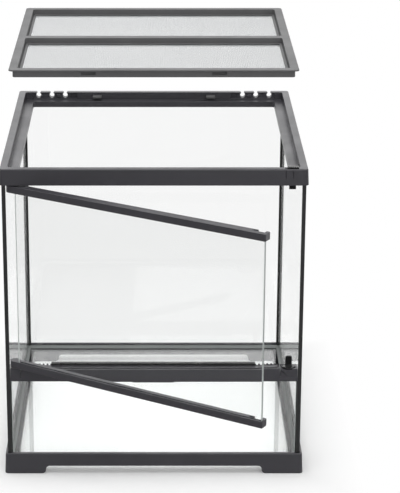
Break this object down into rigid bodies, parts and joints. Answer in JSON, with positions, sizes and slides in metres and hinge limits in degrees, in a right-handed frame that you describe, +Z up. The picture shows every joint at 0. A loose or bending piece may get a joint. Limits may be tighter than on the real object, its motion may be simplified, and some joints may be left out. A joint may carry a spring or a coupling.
{
  "type": "reptile terrarium",
  "caption": "Front-opening glass terrarium with a hinged glass door, vent rail, cable inlets, sliding latches and a lift-off mesh lid",
  "frame": {"origin": "centre of the tank's footprint, on the surface it stands on", "axes": "+X to the tank's right seen from its door side, +Y to its rear, +Z up"},
  "size_m": [0.315, 0.4616, 0.436],
  "materials": {
    "charcoal_plastic": "fine moulded grain",
    "grey_plastic": "satin moulded",
    "black_plastic": "gloss",
    "black_silicone": "smooth",
    "tank_glass": "clear polished",
    "steel_mesh": "woven wire",
    "pin_steel": "ground"
  },
  "bodies": {
    "tank": {"base_frame": "charcoal_plastic", "floor_glass": "tank_glass", "left_glass": "tank_glass", "right_glass": "tank_glass", "rear_glass": "tank_glass", "front_window_glass": "tank_glass", "front_edge_strips": "black_plastic", "rear_corner_seals": "black_silicone", "window_seals": "black_silicone", "floor_seal": "black_silicone", "vent_rail": "charcoal_plastic", "vent_end_block_left": "charcoal_plastic", "vent_end_block_right": "charcoal_plastic", "vent_grille": "charcoal_plastic", "top_frame": "charcoal_plastic", "lid_catches": "grey_plastic", "hinge_bushes": "grey_plastic"},
    "door": {"door_glass": "tank_glass", "door_top_rail": "charcoal_plastic", "door_bottom_rail": "charcoal_plastic", "hinge_pins": "pin_steel"},
    "lid": {"lid_frame": "grey_plastic", "lid_mesh_rear": "steel_mesh", "lid_mesh_front": "steel_mesh", "mesh_ring_rear": "grey_plastic", "mesh_ring_front": "grey_plastic"},
    "upper_latch": {"top_latch": "black_plastic", "top_latch_tab": "black_plastic"},
    "lower_latch": {"bottom_latch": "black_plastic", "bottom_latch_keeper": "black_plastic"},
    "left_shutter": {"inlet_shutter_left": "charcoal_plastic"},
    "right_shutter": {"inlet_shutter_right": "charcoal_plastic"},
    "vent_slider": {"vent_shutter": "black_plastic"}
  },
  "joints": [
    {"name": "door_hinge", "type": "hinge", "parent": "tank", "child": "door", "pos_m": [-0.1446, -0.149, 0.2185], "axis": [0, 0, -1], "range_deg": [-31, 59]},
    {"name": "lid_lift", "type": "slide", "parent": "tank", "child": "lid", "axis": [0, 0, 1], "range_m": [-0.0998, 0]},
    {"name": "top_latch_slide", "type": "slide", "parent": "tank", "child": "upper_latch", "axis": [-1, 0, 0], "range_m": [0, 0.0045]},
    {"name": "bottom_latch_slide", "type": "slide", "parent": "tank", "child": "lower_latch", "axis": [-1, 0, 0], "range_m": [0, 0.0045]},
    {"name": "left_inlet_slide", "type": "slide", "parent": "tank", "child": "left_shutter", "axis": [1, 0, 0], "range_m": [0, 0.00765]},
    {"name": "right_inlet_slide", "type": "slide", "parent": "tank", "child": "right_shutter", "axis": [-1, 0, 0], "range_m": [0, 0.00765]},
    {"name": "vent_slide", "type": "slide", "parent": "tank", "child": "vent_slider", "axis": [1, 0, 0], "range_m": [0, 0.00205]}
  ]
}
